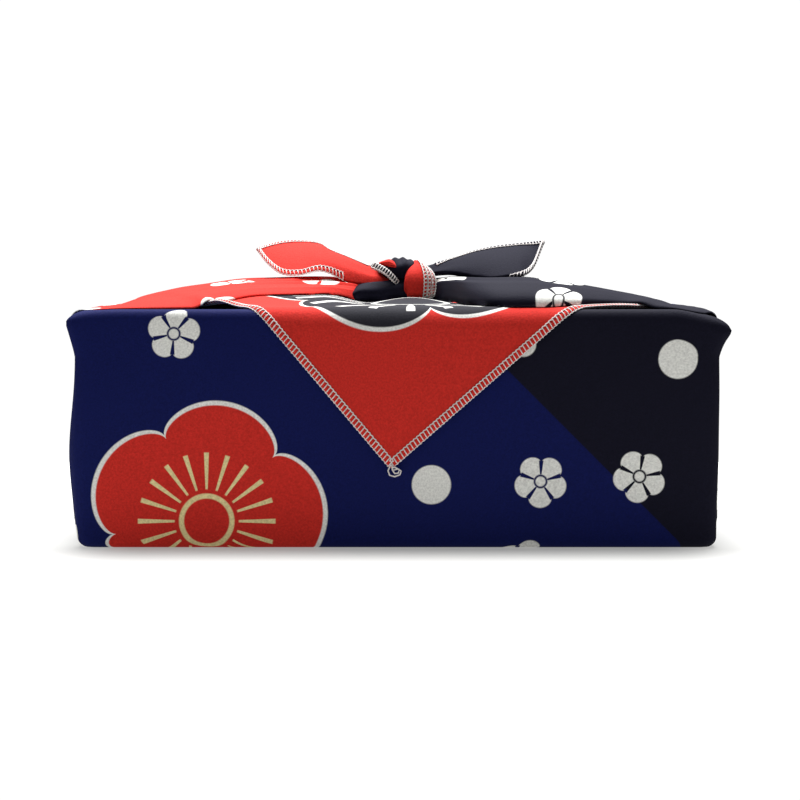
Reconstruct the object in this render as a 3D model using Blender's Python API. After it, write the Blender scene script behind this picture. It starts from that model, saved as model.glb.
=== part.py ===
# A box tied up in a square wrapping cloth. Metres, +Z up, front toward -Y, origin under the middle.
import math

import bmesh
import bpy
import numpy as np
from mathutils import Vector

# Driving dimensions
BOX_WIDTH = 0.2739
BOX_DEPTH = 0.2085
BOX_HEIGHT = 0.0988
BOX_EDGE = 0.0015
CLOTH_THICK = 0.0015
EDGE_CLEARANCE = 0.0020
REST_GAP = 0.0003

# Cloth round the box: edge roundings, and the panel with pleats on each short side
EDGE_RADIUS_TOP = 0.0045
EDGE_RADIUS_BOTTOM = 0.0042
CORNER_RADIUS = 0.0050
CORNER_TIGHTER_INWARD = 0.2
CORNER_LEAST = 0.0020
PANEL_HALF_LOW = 0.1010
PANEL_HALF_HIGH = 0.0900
PANEL_STEP = 0.0010
PANEL_FOLD = (0.0050, 0.0030)
PANEL_GROWS = (0.03, 0.20)
SIDE_PLEATS = 5
SIDE_PLEAT_HEIGHT = 0.0009
SLACK_LEFT = 0.0024
SLACK_RIGHT = 0.0008
SLACK_HEIGHT = 0.0430
SLACK_SPREAD = 0.0190
SLACK_EDGE = 0.0060
SIDE_EDGE = (0.0140, 0.0010)

# How far the foot of each short side leans in, and the height where that ends
TAPER_LEFT = (0.0012, 0.0320)
TAPER_RIGHT = (0.0008, 0.0800)

# Unevenness of the walls: height, turns along and up in radians a metre, and phase
WAVE_COLUMNS = ("height", "along_x", "along_y", "up", "phase")
WAVES = (
    (0.0006, 38.0, 0.0, 21.0, 0.6),
    (0.0005, 0.0, 29.0, -33.0, 1.9),
)
WAVE_FADE = (0.0040, 0.0200)

# Pointed folds at the upper corners: how far out, how far below the top, and their reach above and below
EAR_COLUMNS = ("out", "drop", "above", "below")
EAR_LEFT = (0.0041, 0.0052, 0.0044, 0.0145)
EAR_RIGHT = (0.0053, 0.0080, 0.0060, 0.0108)
EAR_DEPTH = 0.0150
EAR_BACK_SHARE = 0.7
EAR_FLARE = 1.0
EAR_SOFT = 0.0013

# Rings of the cloth round the box: heights as shares of the whole, and insets over the lid along X and Y
WALL_LEVELS = (0.13, 0.27, 0.41, 0.55, 0.69, 0.82, 0.88, 0.92, 0.945)
LID_INSETS = ((0.020, 0.016), (0.048, 0.036), (0.078, 0.056))
ARC_STEPS = 3
CORNER_STEPS = 3
LONG_SIDE_STEPS = 12
SHORT_SIDE_STEPS = 11

# Corner of the cloth that hangs over the front
FLAP_THICK = 0.0012
FLAP_GAP_TOP = 0.0010
FLAP_GAP_FRONT = 0.0018
FLAP_GAP_TIP = 0.0026
FLAP_GAP_CHANGE = 0.0450
FLAP_BEND_RADIUS = 0.0090
FLAP_HANG = 0.0695
FLAP_SIDE_INSET = 0.0252
FLAP_TIP_X = -0.0026
FLAP_TIP_WIDTH = 0.0012
FLAP_LEFT_SLOPE = 0.845
FLAP_RIGHT_SLOPE = 1.145
FLAP_REAR_SHORT = 0.0120
FLAP_FINE_BEYOND = 0.0080
FLAP_FINE_SHARE = 0.7
FLAP_RIPPLE = 0.0005
FLAP_RIPPLE_RATE = 34.0
FLAP_RIPPLE_PHASE = 0.8
FLAP_RIPPLE_FROM = (0.0100, 0.0500)
FLAP_RIPPLE_TO = (0.0600, 0.0700)
FLAP_SINK = 0.0019
FLAP_SINK_BEFORE_REAR = (0.0300, 0.0080)
FLAP_STEPS_LONG = 30
FLAP_STEPS_ACROSS = 10

# Gathered ends and free ends of the tie
GATHER_THICK = 0.0018
GATHER_OVER_FLAP = 0.0005
GATHER_LOW_BEYOND_FLAP = 0.0030
GATHER_LOW_BEFORE_EDGE = 0.0020
TAIL_THICK = 0.0015

# Places worked out from them
HALF_WIDTH = BOX_WIDTH / 2 + EDGE_CLEARANCE + CLOTH_THICK
HALF_DEPTH = BOX_DEPTH / 2 + EDGE_CLEARANCE + CLOTH_THICK
TOP = CLOTH_THICK + REST_GAP + BOX_HEIGHT + EDGE_CLEARANCE + CLOTH_THICK
FLAP_Z = TOP + FLAP_GAP_TOP + FLAP_THICK / 2
GATHER_LOW_Z = TOP + GATHER_THICK / 2 + REST_GAP
GATHER_EDGE_Z = TOP + FLAP_GAP_TOP + FLAP_THICK + GATHER_OVER_FLAP + GATHER_THICK / 2

# Gathered ends, from the side of the box to the knot: distance from the middle, reach to the front and to the
# back, and height of the crown above the top
GATHER_COLUMNS = ("across", "front", "back", "crown")
GATHER_LEFT = (
    (0.1387, 0.0960, 0.0960, 0.0010),
    (0.1260, 0.0950, 0.0940, 0.0022),
    (0.1180, 0.0945, 0.0910, 0.0050),
    (0.1050, 0.0930, 0.0850, 0.0080),
    (0.0900, 0.0860, 0.0760, 0.0101),
    (0.0750, 0.0700, 0.0660, 0.0121),
    (0.0600, 0.0560, 0.0540, 0.0125),
    (0.0400, 0.0370, 0.0330, 0.0126),
    (0.0250, 0.0180, 0.0160, 0.0124),
    (0.0100, 0.0100, 0.0100, 0.0120),
)
GATHER_RIGHT = (
    (0.1387, 0.0880, 0.0940, 0.0010),
    (0.1260, 0.0910, 0.0910, 0.0021),
    (0.1180, 0.0870, 0.0870, 0.0039),
    (0.1100, 0.0810, 0.0830, 0.0055),
    (0.1020, 0.0820, 0.0780, 0.0068),
    (0.0900, 0.0910, 0.0700, 0.0089),
    (0.0760, 0.0990, 0.0600, 0.0109),
    (0.0600, 0.1010, 0.0460, 0.0126),
    (0.0420, 0.0970, 0.0320, 0.0128),
    (0.0320, 0.0740, 0.0220, 0.0130),
    (0.0240, 0.0300, 0.0160, 0.0130),
    (0.0120, 0.0110, 0.0100, 0.0120),
)
GATHER_STEPS_TOP = 18
GATHER_STEPS_ACROSS = 22
PLEATS = 5
PLEAT_HEIGHT = 0.0008
PLEATS_GROW = (0.15, 0.50)
LEAST_CROWN = 0.0004

# Rounding of a gathered end from its free border to its crown: a power of the share, and one of what is left
TENT = (2.4, 0.75)
ROLL = (6.0, 0.60)

# Start of a gathered end at the upper edge of the short side: out from the wall and down from the top
START_COLUMNS = ("out", "down")
GATHER_START = (
    (-0.0008, 0.0130),
    (0.0006, 0.0082),
    (0.0012, 0.0039),
    (0.0002, -0.0001),
)
START_TAPER = 0.985
START_CROWN = 0.0004

# Free ends of the tie, from the knot to the point: near hem and far hem at places along X, z above the top
TAIL_COLUMNS = ("x", "near_y", "near_z", "far_y", "far_z", "bow")
TAIL_LEFT = (
    (-0.0020, -0.0045, 0.0090, 0.0035, 0.0160, 0.0010),
    (-0.0130, -0.0070, 0.0100, 0.0050, 0.0185, 0.0020),
    (-0.0250, -0.0100, 0.0122, 0.0090, 0.0220, 0.0028),
    (-0.0360, -0.0140, 0.0158, 0.0150, 0.0288, 0.0024),
    (-0.0460, -0.0165, 0.0150, 0.0180, 0.0305, 0.0018),
    (-0.0550, -0.0140, 0.0154, 0.0140, 0.0306, 0.0012),
    (-0.0620, -0.0080, 0.0204, 0.0080, 0.0292, 0.0006),
    (-0.0670, -0.0010, 0.0264, 0.0010, 0.0278, 0.0002),
)
TAIL_RIGHT = (
    (0.0080, -0.0040, 0.0100, 0.0040, 0.0170, 0.0010),
    (0.0180, -0.0060, 0.0120, 0.0060, 0.0196, 0.0020),
    (0.0280, -0.0090, 0.0132, 0.0090, 0.0228, 0.0026),
    (0.0380, -0.0130, 0.0124, 0.0130, 0.0262, 0.0026),
    (0.0480, -0.0160, 0.0128, 0.0170, 0.0284, 0.0020),
    (0.0580, -0.0130, 0.0142, 0.0180, 0.0296, 0.0014),
    (0.0650, -0.0040, 0.0184, 0.0150, 0.0304, 0.0006),
    (0.0706, 0.0070, 0.0292, 0.0100, 0.0312, 0.0002),
)
TAIL_STEPS_LONG = 14
TAIL_STEPS_ACROSS = 6

# Middle of the knot, measured from the middle of the box and from the top
KNOT_X = 0.0040
KNOT_Z = 0.0108
KNOT_HALF = (0.0160, 0.0125, 0.0098)
CORE_SEGMENTS = 16
CORE_RINGS = 10

# Bands that go once round the knot: place along X, the turn's half depth and half height, the band's half
# width and half thickness, and its lean
BAND_COLUMNS = ("x", "half_y", "half_z", "half_width", "half_thick", "lean")
FRONT_BAND = (0.0100, 0.0120, 0.0082, 0.0062, 0.0026, 0.10)
TOP_BAND = (0.0004, 0.0086, 0.0094, 0.0062, 0.0028, -0.18)
BAND_SWELL = 0.12
BAND_STEPS_ROUND = 20
BAND_STEPS_SECTION = 8


def clear_scene():
    """Removes whatever the new file holds."""
    for item in list(bpy.data.objects):
        bpy.data.objects.remove(item, do_unlink=True)


def material(name, colour, roughness):
    """A plain Principled material for one sub-part."""
    made = bpy.data.materials.new(name)
    made.use_nodes = True
    shader = made.node_tree.nodes["Principled BSDF"]
    shader.inputs["Base Color"].default_value = (*colour, 1.0)
    shader.inputs["Roughness"].default_value = roughness
    return made


def add_object(name, mesh_data, finish=None):
    """Turns a bmesh into a smooth-shaded object at the origin."""
    bmesh.ops.recalc_face_normals(mesh_data, faces=mesh_data.faces)
    mesh = bpy.data.meshes.new(name)
    mesh_data.to_mesh(mesh)
    mesh_data.free()
    mesh.shade_smooth()
    made = bpy.data.objects.new(name, mesh)
    bpy.context.scene.collection.objects.link(made)
    if finish:
        mesh.materials.append(finish)
    return made


def as_piece(made):
    """Marks an object as one that is only joined into the cloth."""
    made.hide_render = True
    made.display_type = "WIRE"
    return made


def smoothstep(low, high, value):
    """Goes from 0 at low to 1 at high without a corner."""
    share = min(max((value - low) / (high - low), 0.0), 1.0)
    return share * share * (3 - 2 * share)


def read_table(rows, columns, key, value, wanted):
    """The value of a column where the key column has the wanted number, smoothed between the rows."""
    keys = np.array([row[columns.index(key)] for row in rows])
    values = np.array([row[columns.index(value)] for row in rows])
    if keys[0] > keys[-1]:
        keys = keys[::-1]
        values = values[::-1]
    slopes = np.gradient(values, keys)
    place = int(np.clip(np.searchsorted(keys, wanted) - 1, 0, len(keys) - 2))
    span = keys[place + 1] - keys[place]
    t = min(max((wanted - keys[place]) / span, 0.0), 1.0)
    start = (2 * t**3 - 3 * t**2 + 1) * values[place] + (t**3 - 2 * t**2 + t) * span * slopes[place]
    end = (3 * t**2 - 2 * t**3) * values[place + 1] + (t**3 - t**2) * span * slopes[place + 1]
    return float(start + end)


def ring_of_rectangle(half_x, half_y, radius):
    """Points round a rectangle with round corners, anticlockwise from the front left."""
    points = []
    corners = ((-1, -1, 180), (1, -1, 270), (1, 1, 0), (-1, 1, 90))
    for index, (sign_x, sign_y, first) in enumerate(corners):
        centre = (sign_x * (half_x - radius), sign_y * (half_y - radius))
        for step in range(CORNER_STEPS + 1):
            angle = math.radians(first + 90 * step / CORNER_STEPS)
            points.append((centre[0] + radius * math.cos(angle), centre[1] + radius * math.sin(angle)))
        nxt = corners[(index + 1) % 4]
        target = (nxt[0] * (half_x - radius), nxt[1] * (half_y - radius))
        side = math.radians(first + 90)
        start = (centre[0] + radius * math.cos(side), centre[1] + radius * math.sin(side))
        end = (target[0] + radius * math.cos(side), target[1] + radius * math.sin(side))
        count = LONG_SIDE_STEPS if index % 2 == 0 else SHORT_SIDE_STEPS
        for step in range(1, count):
            share = step / count
            points.append((start[0] + (end[0] - start[0]) * share, start[1] + (end[1] - start[1]) * share))
    return points


def side_fold(x, y, z):
    """How far the cloth on a short side stands proud: a panel narrowing upward, pleats fanning out below."""
    height = z / TOP
    half = PANEL_HALF_LOW + (PANEL_HALF_HIGH - PANEL_HALF_LOW) * height
    panel = 1 - smoothstep(half - PANEL_FOLD[0], half + PANEL_FOLD[1], abs(y))
    spread = y / half
    pleats = math.cos(math.pi * SIDE_PLEATS * spread) * (1 - spread * spread) if abs(spread) < 1 else 0.0
    slack = SLACK_LEFT if x < 0 else SLACK_RIGHT
    bulge = slack * math.exp(-(((z - SLACK_HEIGHT) / SLACK_SPREAD) ** 2))
    bulge *= smoothstep(0.0, SLACK_EDGE, HALF_DEPTH - abs(y))
    step = PANEL_STEP * panel * smoothstep(*PANEL_GROWS, height)
    return step + SIDE_PLEAT_HEIGHT * pleats * height**2 + bulge


def wall_wave(x, y, z):
    """The small unevenness of cloth that is pulled over a box, always outward."""
    total = 0.0
    for row in WAVES:
        wave = dict(zip(WAVE_COLUMNS, row))
        turn = wave["along_x"] * x + wave["along_y"] * y + wave["up"] * z + wave["phase"]
        total += wave["height"] * (1 + math.sin(turn)) / 2
    return smoothstep(*WAVE_FADE, z) * total


def ear(x, y, z):
    """The pointed fold that stands out at each upper front corner, and a smaller one at the back."""
    shape = dict(zip(EAR_COLUMNS, EAR_LEFT if x < 0 else EAR_RIGHT))
    over = z - (TOP - shape["drop"])
    reach = shape["above"] if over > 0 else shape["below"]
    away = math.hypot(over, EAR_SOFT) - EAR_SOFT
    up = max(0.0, 1 - away / reach) ** EAR_FLARE
    along = math.exp(-(((HALF_DEPTH - abs(y)) / EAR_DEPTH) ** 2))
    return shape["out"] * (EAR_BACK_SHARE if y > 0 else 1.0) * up * along


def side_taper(x, z):
    """How far the foot of a short side leans in."""
    depth, height = TAPER_LEFT if x < 0 else TAPER_RIGHT
    return depth * (1 - smoothstep(0.0, height, z))


def make_body(finish):
    """The bottom, the four sides and the turned-in top of the cloth, open under the flap."""
    data = bmesh.new()
    profile = [(EDGE_RADIUS_BOTTOM, EDGE_RADIUS_BOTTOM, 0.0)]
    for step in range(1, ARC_STEPS + 1):
        angle = math.pi / 2 * step / ARC_STEPS
        inset = EDGE_RADIUS_BOTTOM * (1 - math.sin(angle))
        profile.append((inset, inset, EDGE_RADIUS_BOTTOM * (1 - math.cos(angle))))
    for share in WALL_LEVELS:
        profile.append((0.0, 0.0, TOP * share))
    for step in range(ARC_STEPS + 1):
        angle = math.pi / 2 * step / ARC_STEPS
        inset = EDGE_RADIUS_TOP * (1 - math.cos(angle))
        profile.append((inset, inset, TOP - EDGE_RADIUS_TOP * (1 - math.sin(angle))))
    for inset_x, inset_y in LID_INSETS:
        profile.append((inset_x, inset_y, TOP))
    rings = []
    for inset_x, inset_y, z in profile:
        radius = max(CORNER_RADIUS - inset_x * CORNER_TIGHTER_INWARD, CORNER_LEAST)
        ring = []
        for x, y in ring_of_rectangle(HALF_WIDTH - inset_x, HALF_DEPTH - inset_y, radius):
            toward = Vector((0.0, 0.0, 0.0))
            if 0 < z < TOP:
                corner_x = smoothstep(HALF_WIDTH - SIDE_EDGE[0], HALF_WIDTH - SIDE_EDGE[1], abs(x))
                corner_y = smoothstep(HALF_DEPTH - SIDE_EDGE[0], HALF_DEPTH - SIDE_EDGE[1], abs(y))
                outward = side_fold(x, y, z) + ear(x, y, z) + wall_wave(x, y, z) - side_taper(x, z)
                toward.x = math.copysign(1.0, x) * outward * corner_x
                toward.y = math.copysign(1.0, y) * wall_wave(x, y, z) * corner_y
            ring.append(data.verts.new((x + toward.x, y + toward.y, z)))
        rings.append(ring)
    count = len(rings[0])
    for lower, upper in zip(rings, rings[1:]):
        for index in range(count):
            after = (index + 1) % count
            data.faces.new((lower[index], lower[after], upper[after], upper[index]))
    data.faces.new(list(reversed(rings[0])))
    body = add_object("wrap_cloth", data, finish)
    shell = body.modifiers.new("thickness", "SOLIDIFY")
    shell.thickness = CLOTH_THICK
    shell.offset = -1.0
    shell.use_even_offset = True
    return body


def make_sheet(name, place, steps_long, steps_across, thickness):
    """A sheet with the cloth's thickness, on a grid that a function of two shares places."""
    data = bmesh.new()
    rows = []
    for i in range(steps_long + 1):
        row = [data.verts.new(place(i / steps_long, j / steps_across)) for j in range(steps_across + 1)]
        rows.append(row)
    for i in range(steps_long):
        for j in range(steps_across):
            data.faces.new((rows[i][j], rows[i + 1][j], rows[i + 1][j + 1], rows[i][j + 1]))
    made = as_piece(add_object(name, data))
    shell = made.modifiers.new("thickness", "SOLIDIFY")
    shell.thickness = thickness
    shell.offset = 0.0
    shell.use_even_offset = True
    return made


def flap_line(run):
    """Depth and height of the flap at a length run up from its tip: hanging, round the edge, over the top."""
    stand_off = FLAP_GAP_TIP + (FLAP_GAP_FRONT - FLAP_GAP_TIP) * smoothstep(0.0, FLAP_GAP_CHANGE, run)
    y_front = -HALF_DEPTH - stand_off - FLAP_THICK / 2
    hang = FLAP_HANG - FLAP_BEND_RADIUS
    bend = FLAP_BEND_RADIUS * math.pi / 2
    z_bend = FLAP_Z - FLAP_BEND_RADIUS
    if run < hang:
        return y_front, z_bend - (hang - run)
    if run < hang + bend:
        angle = (run - hang) / FLAP_BEND_RADIUS
        y_bend = y_front + FLAP_BEND_RADIUS * (1 - math.cos(angle))
        return y_bend, z_bend + FLAP_BEND_RADIUS * math.sin(angle)
    return y_front + FLAP_BEND_RADIUS + run - hang - bend, FLAP_Z


def make_flap():
    """The back corner of the cloth: over the top and down the front to its point."""
    bend_saving = FLAP_BEND_RADIUS * (2 - math.pi / 2)
    rear = FLAP_HANG + 2 * HALF_DEPTH + FLAP_GAP_FRONT - bend_saving - FLAP_REAR_SHORT
    side_limit = HALF_WIDTH - FLAP_SIDE_INSET
    fine = FLAP_HANG + FLAP_FINE_BEYOND

    def place(share_long, share_across):
        if share_long < FLAP_FINE_SHARE:
            run = fine * share_long / FLAP_FINE_SHARE
        else:
            run = fine + (rear - fine) * (share_long - FLAP_FINE_SHARE) / (1 - FLAP_FINE_SHARE)
        left = max(FLAP_TIP_X - FLAP_TIP_WIDTH / 2 - FLAP_LEFT_SLOPE * run, -side_limit)
        right = min(FLAP_TIP_X + FLAP_TIP_WIDTH / 2 + FLAP_RIGHT_SLOPE * run, side_limit)
        x = left + (right - left) * share_across
        y, z = flap_line(run)
        hanging = smoothstep(*FLAP_RIPPLE_FROM, run) * (1 - smoothstep(*FLAP_RIPPLE_TO, run))
        ripple = FLAP_RIPPLE * math.sin(FLAP_RIPPLE_RATE * x + FLAP_RIPPLE_PHASE) * hanging
        sink = FLAP_SINK * smoothstep(rear - FLAP_SINK_BEFORE_REAR[0], rear - FLAP_SINK_BEFORE_REAR[1], run)
        return (x, y - ripple, z - sink)

    return make_sheet("flap", place, FLAP_STEPS_LONG, FLAP_STEPS_ACROSS, FLAP_THICK)


def make_gather(name, side, table, front_rounding):
    """One gathered end: up out of the side of the cloth, round the edge and over the top to the knot."""
    far = table[0][0]
    near = table[-1][0]
    rows_before = len(GATHER_START)
    total = rows_before + GATHER_STEPS_TOP
    over_flap = HALF_WIDTH - FLAP_SIDE_INSET + GATHER_LOW_BEYOND_FLAP

    def place(share_long, share_across):
        row = round(share_long * total)
        v = 2 * share_across - 1
        if row < rows_before:
            start = dict(zip(START_COLUMNS, GATHER_START[row]))
            reach = table[0][1] if v < 0 else table[0][2]
            crown = START_CROWN * (1 - v * v)
            wall = HALF_WIDTH + start["out"] + crown
            return (side * wall, v * reach * START_TAPER, TOP - start["down"])
        t = (row - rows_before) / (total - rows_before)
        across = far + (near - far) * t
        values = {}
        for key in GATHER_COLUMNS[1:]:
            values[key] = read_table(table, GATHER_COLUMNS, "across", key, across)
        y = v * (values["front"] if v < 0 else values["back"])
        power, left_over = front_rounding if v < 0 else TENT
        lift = (1 - abs(v) ** power) ** left_over
        rise = 1 - smoothstep(over_flap, far - GATHER_LOW_BEFORE_EDGE, across)
        pleat = PLEAT_HEIGHT * smoothstep(*PLEATS_GROW, t) * math.cos(math.pi * PLEATS * v) * (1 - v * v)
        base = GATHER_LOW_Z + (GATHER_EDGE_Z - GATHER_LOW_Z) * rise
        crown = max(TOP + values["crown"] - GATHER_THICK / 2 - base, LEAST_CROWN)
        return (side * across, y, base + crown * lift + pleat)

    return make_sheet(name, place, total, GATHER_STEPS_ACROSS, GATHER_THICK)


def make_tail(name, table):
    """One free end of the tie: a leaf of cloth that opens from the knot and comes to the corner's point."""
    first = table[0][0]
    last = table[-1][0]

    def place(share_long, share_across):
        x = first + (last - first) * share_long
        values = {}
        for key in TAIL_COLUMNS[1:]:
            values[key] = read_table(table, TAIL_COLUMNS, "x", key, x)
        y = values["near_y"] + (values["far_y"] - values["near_y"]) * share_across
        z = values["near_z"] + (values["far_z"] - values["near_z"]) * share_across
        bow = values["bow"] * math.sin(math.pi * share_across)
        return (x, y - bow, TOP + z + bow)

    return make_sheet(name, place, TAIL_STEPS_LONG, TAIL_STEPS_ACROSS, TAIL_THICK)


def make_core():
    """The packed middle of the knot."""
    data = bmesh.new()
    bmesh.ops.create_uvsphere(data, u_segments=CORE_SEGMENTS, v_segments=CORE_RINGS, radius=1.0)
    bmesh.ops.scale(data, vec=KNOT_HALF, verts=data.verts)
    bmesh.ops.translate(data, vec=(KNOT_X, 0.0, TOP + KNOT_Z), verts=data.verts)
    return as_piece(add_object("knot_core", data))


def make_band(name, shape):
    """A band of cloth that goes once round the knot."""
    size = dict(zip(BAND_COLUMNS, shape))
    data = bmesh.new()
    rings = []
    for i in range(BAND_STEPS_ROUND):
        angle = 2 * math.pi * i / BAND_STEPS_ROUND
        width = size["half_width"] * (1 + BAND_SWELL * math.sin(2 * angle))
        ring = []
        for j in range(BAND_STEPS_SECTION):
            turn = 2 * math.pi * j / BAND_STEPS_SECTION
            out = size["half_thick"] * math.cos(turn)
            y = (size["half_y"] + out) * math.cos(angle)
            z = (size["half_z"] + out) * math.sin(angle)
            x = size["x"] + width * math.sin(turn) + size["lean"] * z
            ring.append(data.verts.new((x, y, TOP + KNOT_Z + z)))
        rings.append(ring)
    for ring, after in zip(rings, rings[1:] + rings[:1]):
        for j in range(BAND_STEPS_SECTION):
            nxt = (j + 1) % BAND_STEPS_SECTION
            data.faces.new((ring[j], after[j], after[nxt], ring[nxt]))
    return as_piece(add_object(name, data))


def join(body, pieces):
    """Joins pieces of the one cloth into its body."""
    for piece in pieces:
        union = body.modifiers.new("join_" + piece.name, "BOOLEAN")
        union.operation = "UNION"
        union.solver = "EXACT"
        union.object = piece


def make_gift_box(finish):
    """The plain box that the cloth is tied round."""
    data = bmesh.new()
    bmesh.ops.create_cube(data, size=1.0)
    bmesh.ops.scale(data, vec=(BOX_WIDTH, BOX_DEPTH, BOX_HEIGHT), verts=data.verts)
    middle = CLOTH_THICK + REST_GAP + BOX_HEIGHT / 2
    bmesh.ops.translate(data, vec=(0.0, 0.0, middle), verts=data.verts)
    box = add_object("gift_box", data, finish)
    box.data.shade_flat()
    rounding = box.modifiers.new("edges", "BEVEL")
    rounding.width = BOX_EDGE
    rounding.segments = 1
    return box


clear_scene()
crepe = material("cloth", (0.012, 0.016, 0.075), 0.85)
card = material("box", (0.62, 0.55, 0.44), 0.75)
make_gift_box(card)
cloth = make_body(crepe)
join(
    cloth,
    [
        make_flap(),
        make_gather("gather_left", -1, GATHER_LEFT, TENT),
        make_gather("gather_right", 1, GATHER_RIGHT, ROLL),
        make_core(),
        make_band("knot_front_band", FRONT_BAND),
        make_band("knot_top_band", TOP_BAND),
        make_tail("tail_left", TAIL_LEFT),
        make_tail("tail_right", TAIL_RIGHT),
    ],
)
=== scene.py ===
# %% [markdown]
# # A box tied up in a wrapping cloth
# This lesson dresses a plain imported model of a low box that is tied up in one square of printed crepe. The real
# thing is a single hemmed cloth. Its back corner hangs over the front, its two side corners meet in a knot on top.
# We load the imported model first, because every sheet below takes its place from it.

# %% Load the model
import math

import bmesh
import bpy
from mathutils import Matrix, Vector


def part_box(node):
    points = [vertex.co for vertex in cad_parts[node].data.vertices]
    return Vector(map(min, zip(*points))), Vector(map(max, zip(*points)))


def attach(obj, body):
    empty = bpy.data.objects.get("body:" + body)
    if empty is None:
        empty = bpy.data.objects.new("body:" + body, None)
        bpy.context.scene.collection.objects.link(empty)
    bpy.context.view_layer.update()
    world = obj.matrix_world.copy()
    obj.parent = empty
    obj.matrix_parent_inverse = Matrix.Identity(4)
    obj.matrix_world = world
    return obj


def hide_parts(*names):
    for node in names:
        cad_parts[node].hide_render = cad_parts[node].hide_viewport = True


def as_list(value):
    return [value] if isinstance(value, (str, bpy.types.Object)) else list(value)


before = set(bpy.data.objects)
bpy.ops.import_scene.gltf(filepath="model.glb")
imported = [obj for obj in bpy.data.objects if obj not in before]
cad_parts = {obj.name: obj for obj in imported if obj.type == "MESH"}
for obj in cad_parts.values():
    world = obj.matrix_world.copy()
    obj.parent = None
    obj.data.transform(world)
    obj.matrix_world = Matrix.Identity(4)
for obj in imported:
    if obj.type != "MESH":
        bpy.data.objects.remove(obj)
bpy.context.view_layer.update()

# %% [markdown]
# ## Sizes
# A cloth sits on what it wraps, so most sizes come from the box inside. We add the cloth's ease around the box and
# its own thickness, and get the planes that every sheet below is laid on.

# %% Sizes of the wrap
MM = 0.001
EASE = 2.0 * MM
CLOTH = 1.5 * MM
_, box_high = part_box("gift_box")
HALF_W = box_high[0] + EASE + CLOTH
HALF_D = box_high[1] + EASE + CLOTH
TOP = box_high[2] + EASE + CLOTH
HALF_DIAGONAL = 495 * MM
SHEET = 0.5 * MM
print("half width", round(HALF_W, 4), "half depth", round(HALF_D, 4), "top", round(TOP, 4))

# %% [markdown]
# ## Camera
# The picture was taken almost level with the lid, from about a metre, so the top shows only as a thin sliver. A long
# lens a little above the lid, tipped down by three degrees, gives the same view.

# %% Camera
FRAME_SIDE = 800
FOCAL_PIXELS = 2304
SENSOR = 36.0
CAMERA_ABOVE_TOP = 18 * MM
CAMERA_TO_FRONT = 1.0
HORIZON_ROW = 268
SIDE_SHIFT = 1.3 * MM

camera_data = bpy.data.cameras.new("camera")
camera_data.sensor_width = SENSOR
camera_data.lens = SENSOR * FOCAL_PIXELS / FRAME_SIDE
camera_data.clip_start = 0.01
camera_data.dof.use_dof = False
camera = bpy.data.objects.new("camera", camera_data)
bpy.context.scene.collection.objects.link(camera)
camera.location = (SIDE_SHIFT, -HALF_D - CAMERA_TO_FRONT, TOP + CAMERA_ABOVE_TOP)
tip_down = math.atan((FRAME_SIDE / 2 - HORIZON_ROW) / FOCAL_PIXELS)
camera.rotation_euler = (math.pi / 2 - tip_down, 0.0, 0.0)
bpy.context.scene.camera = camera
print("lens", round(camera_data.lens, 1), "tip", round(math.degrees(tip_down), 2))

# %% [markdown]
# ## Light and floor
# The picture has a bright white sweep with soft light from above and behind, so the lid is bright and the front
# stands in soft shade. A dim sky, two large area lamps and a small pale floor give that. The floor has a painted glow
# that makes it pure white and lights the front of the box from below. Near the box the glow is turned down, a painted
# shadow for the soft contact shadow that the picture shows in front.

# %% Light and floor
SKY_LIGHT = 0.20
SKY_SEEN = 1.05
LAMP_SIZE = 0.9
FLOOR_HALF = 340 * MM
FLOOR_WHITE = (0.27, 0.27, 0.262)
# Painted glow: the floor emits this light, so it shows pure white and lights the box from below like a lamp.
FLOOR_GLOW = (1.0, 1.0, 0.99)
# Painted shadow: the floor's glow is 0.28 at 5 mm outside the rectangle under the box and 0.95 at 85 mm.
PAINTED_SHADOW_DEEPEST = (5 * MM, 0.28)
PAINTED_SHADOW_END = (85 * MM, 0.95)
FLOOR_SHADE = (HALF_W - 35 * MM, HALF_D, 0.0)


def add_node(tree, kind, feeds):
    """A shader node of a kind. The feeds name its inputs and say what goes in: a socket or a value."""
    node = tree.nodes.new(kind)
    for name, value in feeds.items():
        if isinstance(value, bpy.types.NodeSocket):
            tree.links.new(value, node.inputs[name])
        else:
            node.inputs[name].default_value = value
    return node


def area_lamp(name, place, aim, power):
    """A square soft lamp at a place, turned towards a point."""
    data = bpy.data.lights.new(name, "AREA")
    data.shape = "SQUARE"
    data.size = LAMP_SIZE
    data.energy = power
    lamp = bpy.data.objects.new(name, data)
    bpy.context.scene.collection.objects.link(lamp)
    lamp.location = place
    lamp.rotation_euler = (Vector(aim) - Vector(place)).to_track_quat("-Z", "Y").to_euler()


def plain_material(name, colour, roughness):
    """A Principled material with one colour."""
    made = bpy.data.materials.new(name)
    made.use_nodes = True
    shader = made.node_tree.nodes["Principled BSDF"]
    shader.inputs["Base Color"].default_value = (*colour, 1.0)
    shader.inputs["Roughness"].default_value = roughness
    return made


world = bpy.data.worlds.new("studio")
world.use_nodes = True
sky = world.node_tree.nodes["Background"]
sky.inputs["Color"].default_value = (1.0, 1.0, 1.0, 1.0)
ray = world.node_tree.nodes.new("ShaderNodeLightPath")
sky_feeds = {"Value": ray.outputs["Is Camera Ray"], "To Min": SKY_LIGHT, "To Max": SKY_SEEN}
strength = add_node(world.node_tree, "ShaderNodeMapRange", sky_feeds)
world.node_tree.links.new(strength.outputs["Result"], sky.inputs["Strength"])
bpy.context.scene.world = world
bpy.context.scene.view_settings.view_transform = "Standard"
area_lamp("lamp_top", (0.0, 0.34, 1.10), (0.0, 0.0, 0.06), 42.0)
area_lamp("lamp_front", (-0.5, -1.4, 0.75), (0.0, 0.0, 0.05), 1.0)

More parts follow.
